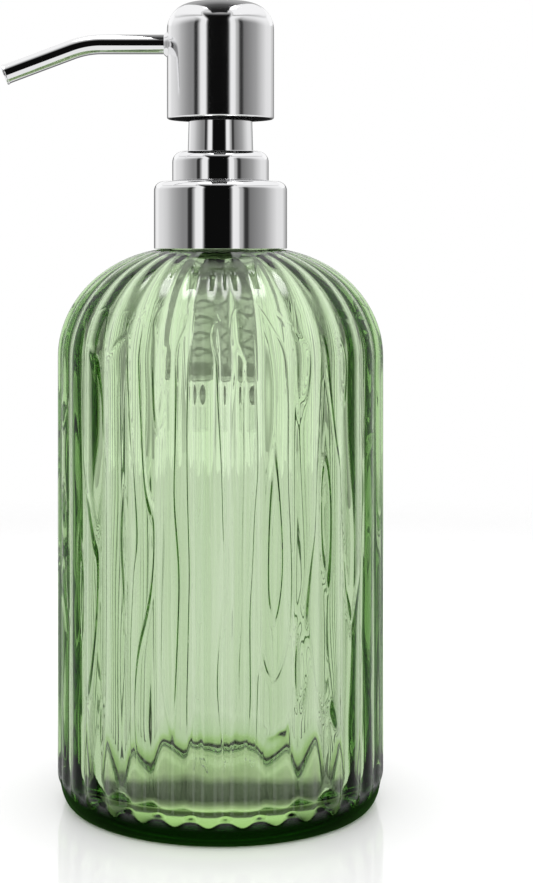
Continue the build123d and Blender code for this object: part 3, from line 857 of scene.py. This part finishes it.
def world():
    """White backdrop for the camera; strips in the metal; panels through the glass; soft light elsewhere."""
    sky = bpy.data.worlds.new("studio")
    bpy.context.scene.world = sky
    sky.use_nodes = True
    sky.cycles.sampling_method = "NONE"
    sky.node_tree.nodes.clear()
    n = Nodes(sky.node_tree)
    x, y, z = n.xyz(n.add("TexCoord").outputs["Generated"])
    turn = n.product(n.maths("ARCTAN2", x, n.product(y, -1.0)), 180 / math.pi)
    height = n.product(n.maths("ARCSINE", z), 180 / math.pi)
    path = n.add("LightPath")
    level = n.blend(path.outputs["Is Glossy Ray"], SOFT_LIGHT, mirrored_light(n, turn, height, y))
    level = n.blend(path.outputs["Is Transmission Ray"], level, light_through(n, turn, height))
    level = n.blend(path.outputs["Is Camera Ray"], level, BACKDROP)
    lit = n.add("Background")
    n.feed(level, lit.inputs["Color"])
    n.feed(lit.outputs[0], n.add("OutputWorld").inputs["Surface"])


def flag():
    """A dark card over the head that only the metal sees. It lightens towards the back."""
    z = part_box("head_shell")[1][2] + CARD_ABOVE * MM
    points = [((side * half - CARD_LEFT) * MM, y * MM, z) for y, half in CARD_ROWS for side in (-1, 1)]
    faces = [(2 * i, 2 * i + 1, 2 * i + 3, 2 * i + 2) for i in range(len(CARD_ROWS) - 1)]
    mesh = bpy.data.meshes.new("flag")
    mesh.from_pydata(points, [], faces)
    card = placed("flag", mesh)
    mat = bpy.data.materials.new("flag")
    mat.use_nodes = True
    mat.node_tree.nodes.clear()
    n = Nodes(mat.node_tree)
    y = n.xyz(n.add("NewGeometry").outputs["Position"])["Y"]
    share = n.maths("DIVIDE", n.maths("SUBTRACT", y, CARD_TONES_START * MM), CARD_TONES_LENGTH * MM)
    glow = n.add("Emission")
    n.feed(n.ramp(share, CARD_TONES), glow.inputs["Color"])
    n.feed(glow.outputs[0], n.add("OutputMaterial").inputs["Surface"])
    mesh.materials.append(mat)
    for kind in ("camera", "diffuse", "transmission", "volume_scatter", "shadow"):
        setattr(card, "visible_" + kind, False)


def floor_under_glass(n, y, away):
    """Tabletop seen through the glass, as a glow: painted shadow under the bottle, darkest where the foot
    touches.
    """
    share = n.maths("ADD", n.maths("DIVIDE", y, 2 * UNDER_HALF * MM), 0.5)
    outside = n.step_mm(away, FOOTPRINT_EDGE)
    # Painted contact shadow where the foot touches.
    contact_shadow = n.product(n.step_mm(away, CONTACT_INSIDE), n.step_mm(away, CONTACT_OUTSIDE))
    tone = n.blend(outside, n.ramp(share, UNDER_SHADOW_TONES), BESIDE_TONE)
    tone = n.blend(contact_shadow, tone, CONTACT_SHADOW_TONE)
    coloured = n.add("CombineColor")
    for channel, tint in zip(("Red", "Green", "Blue"), UNDER_TINT):
        n.feed(n.product(tone, n.blend(outside, tint, 1.0)), coloured.inputs[channel])
    glow = n.add("Emission")
    n.feed(coloured.outputs["Color"], glow.inputs["Color"])
    return glow.outputs[0]


def floor():
    """Pale glossy tabletop that fades out into the white backdrop."""
    half = FLOOR_HALF * MM
    z = -FLOOR_DROP * MM
    mesh = bpy.data.meshes.new("floor")
    corners = [(-half, -half, z), (half, -half, z), (half, half, z), (-half, half, z)]
    mesh.from_pydata(corners, [], [(0, 1, 2, 3)])
    plane = placed("floor", mesh)
    mat, n, shader = material("pale_floor", FLOOR_COLOUR)
    shader.inputs["Roughness"].default_value = FLOOR_ROUGHNESS
    position = n.add("NewGeometry").outputs["Position"]
    length = n.add("VectorMath")
    length.operation = "LENGTH"
    n.feed(position, length.inputs[0])
    away = length.outputs["Value"]
    clear = n.add("BsdfTransparent").outputs[0]
    plain = n.blend_shaders(n.step_mm(away, FLOOR_FADE), shader.outputs[0], clear)
    shadow = n.add("Emission")
    shadow.inputs["Color"].default_value = FOOT_SHADOW
    beside_foot = n.blend_shaders(n.step_mm(away, FOOT_SHADOW_EDGE), clear, shadow.outputs[0])
    # What the glass shows of the tabletop: painted shadow and painted green light under the bottle.
    under_glass = floor_under_glass(n, n.xyz(position)["Y"], away)
    path = n.add("LightPath")
    seen = n.blend_shaders(path.outputs["Is Glossy Ray"], plain, beside_foot)
    n.surface(n.blend_shaders(path.outputs["Is Transmission Ray"], seen, under_glass))
    mesh.materials.append(mat)


def camera():
    lens = bpy.data.cameras.new("camera")
    lens.sensor_width = SENSOR
    lens.lens = SENSOR * CAMERA_DISTANCE / PICTURE_HEIGHT
    lens.shift_x = SHIFT_X
    lens.shift_y = SHIFT_Y
    lens.clip_start = CLIP_START * MM
    cam = placed("camera", lens)
    cam.location = (0, -CAMERA_DISTANCE * MM, CAMERA_HEIGHT * MM)
    cam.rotation_euler = (math.pi / 2, 0, 0)
    bpy.context.scene.camera = cam


def render_settings():
    scene = bpy.context.scene
    scene.view_settings.view_transform = "Standard"
    scene.cycles.max_bounces = 24
    scene.cycles.transmission_bounces = 20
    scene.cycles.glossy_bounces = 8
    scene.cycles.use_denoising = True


dress_cad()
glass_bottle()
metal_shells()
spring()
world()
flag()
floor()
camera()
render_settings()
